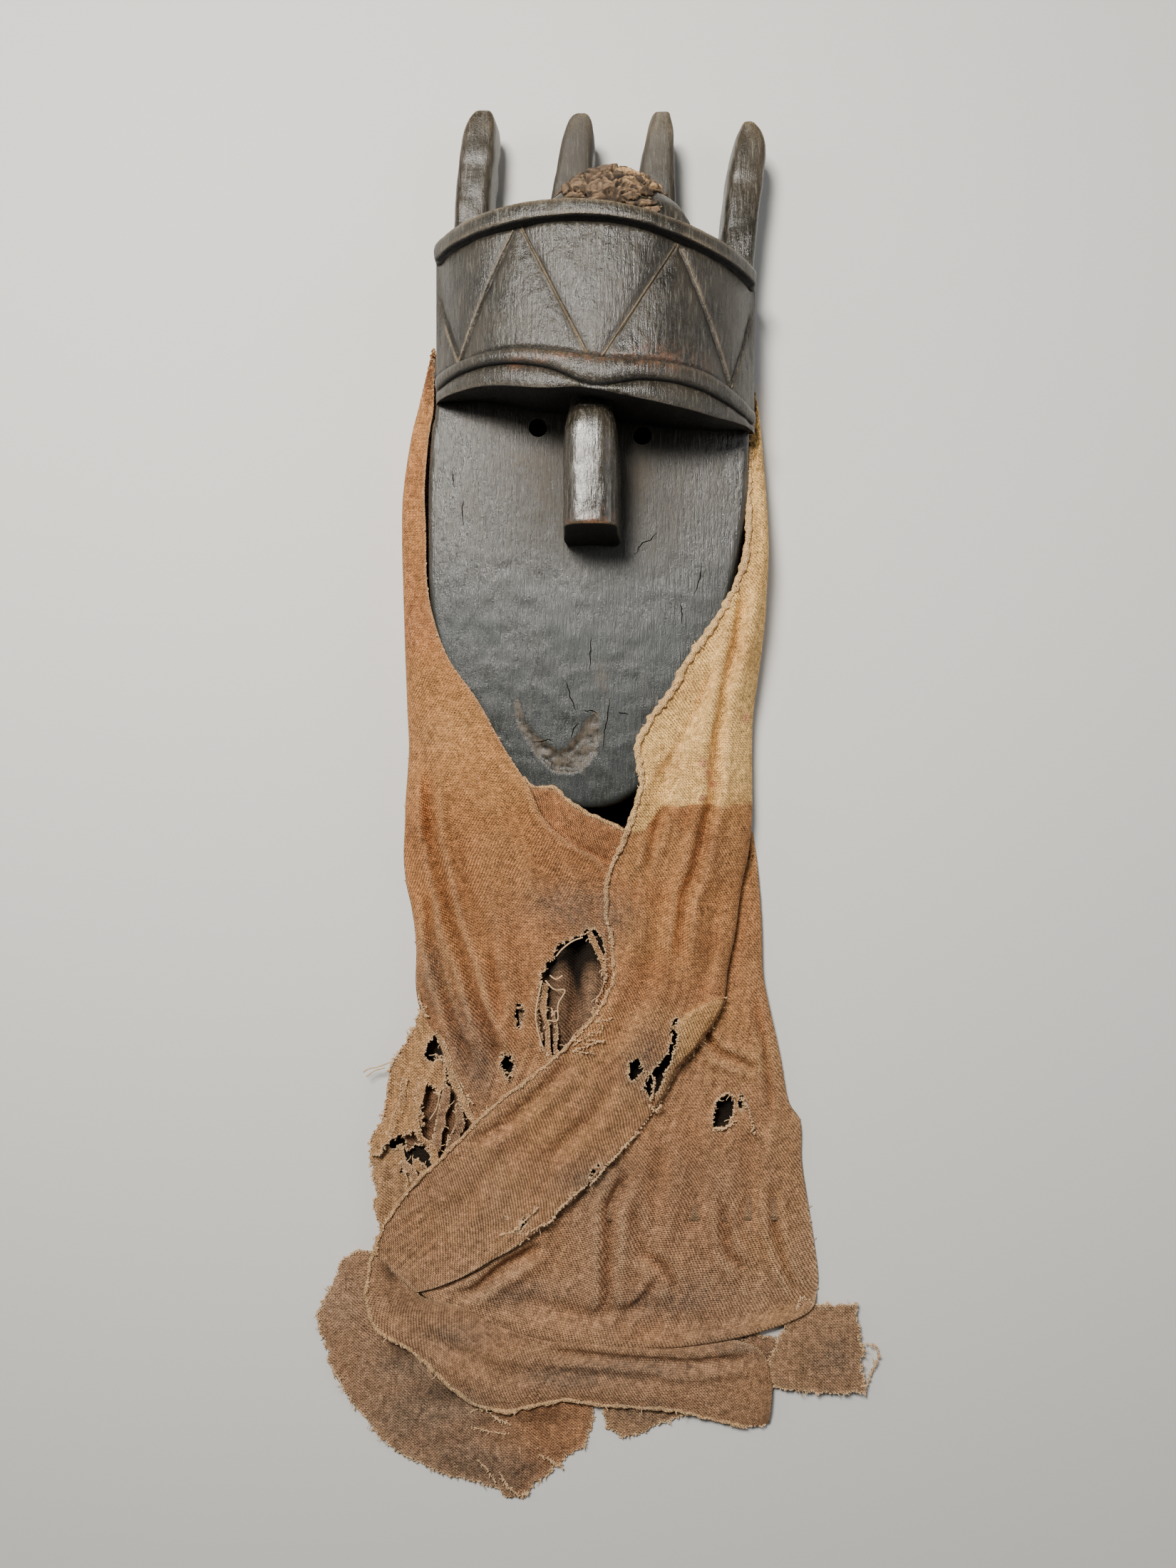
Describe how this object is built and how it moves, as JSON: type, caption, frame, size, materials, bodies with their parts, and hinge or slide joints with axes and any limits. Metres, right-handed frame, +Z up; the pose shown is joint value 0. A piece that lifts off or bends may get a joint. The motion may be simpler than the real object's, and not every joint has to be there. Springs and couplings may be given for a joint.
{
  "type": "toma mask",
  "caption": "Carved wooden face mask with an overhanging crown, horns and a straight nose, lying on its back in a long worn cotton cape.",
  "frame": {"origin": "middle of the whole object's box, on the surface it lies on", "axes": "+Y from the trailing cloth to the horn tips, +X to the viewer's right when facing the mask, +Z up, out of the face"},
  "size_m": [0.457, 1.1116, 0.1346],
  "materials": {
    "dark_wood": "oiled and handled to a dull gloss, with worn tan edges",
    "dried_crust": "dry, cracked and crumbling",
    "brown_cotton": "coarse handspun weave, faded, frayed and sooty"
  },
  "bodies": {
    "root": {"mask": "dark_wood", "crown_crust": "dried_crust", "cloth": "brown_cotton"}
  },
  "joints": []
}
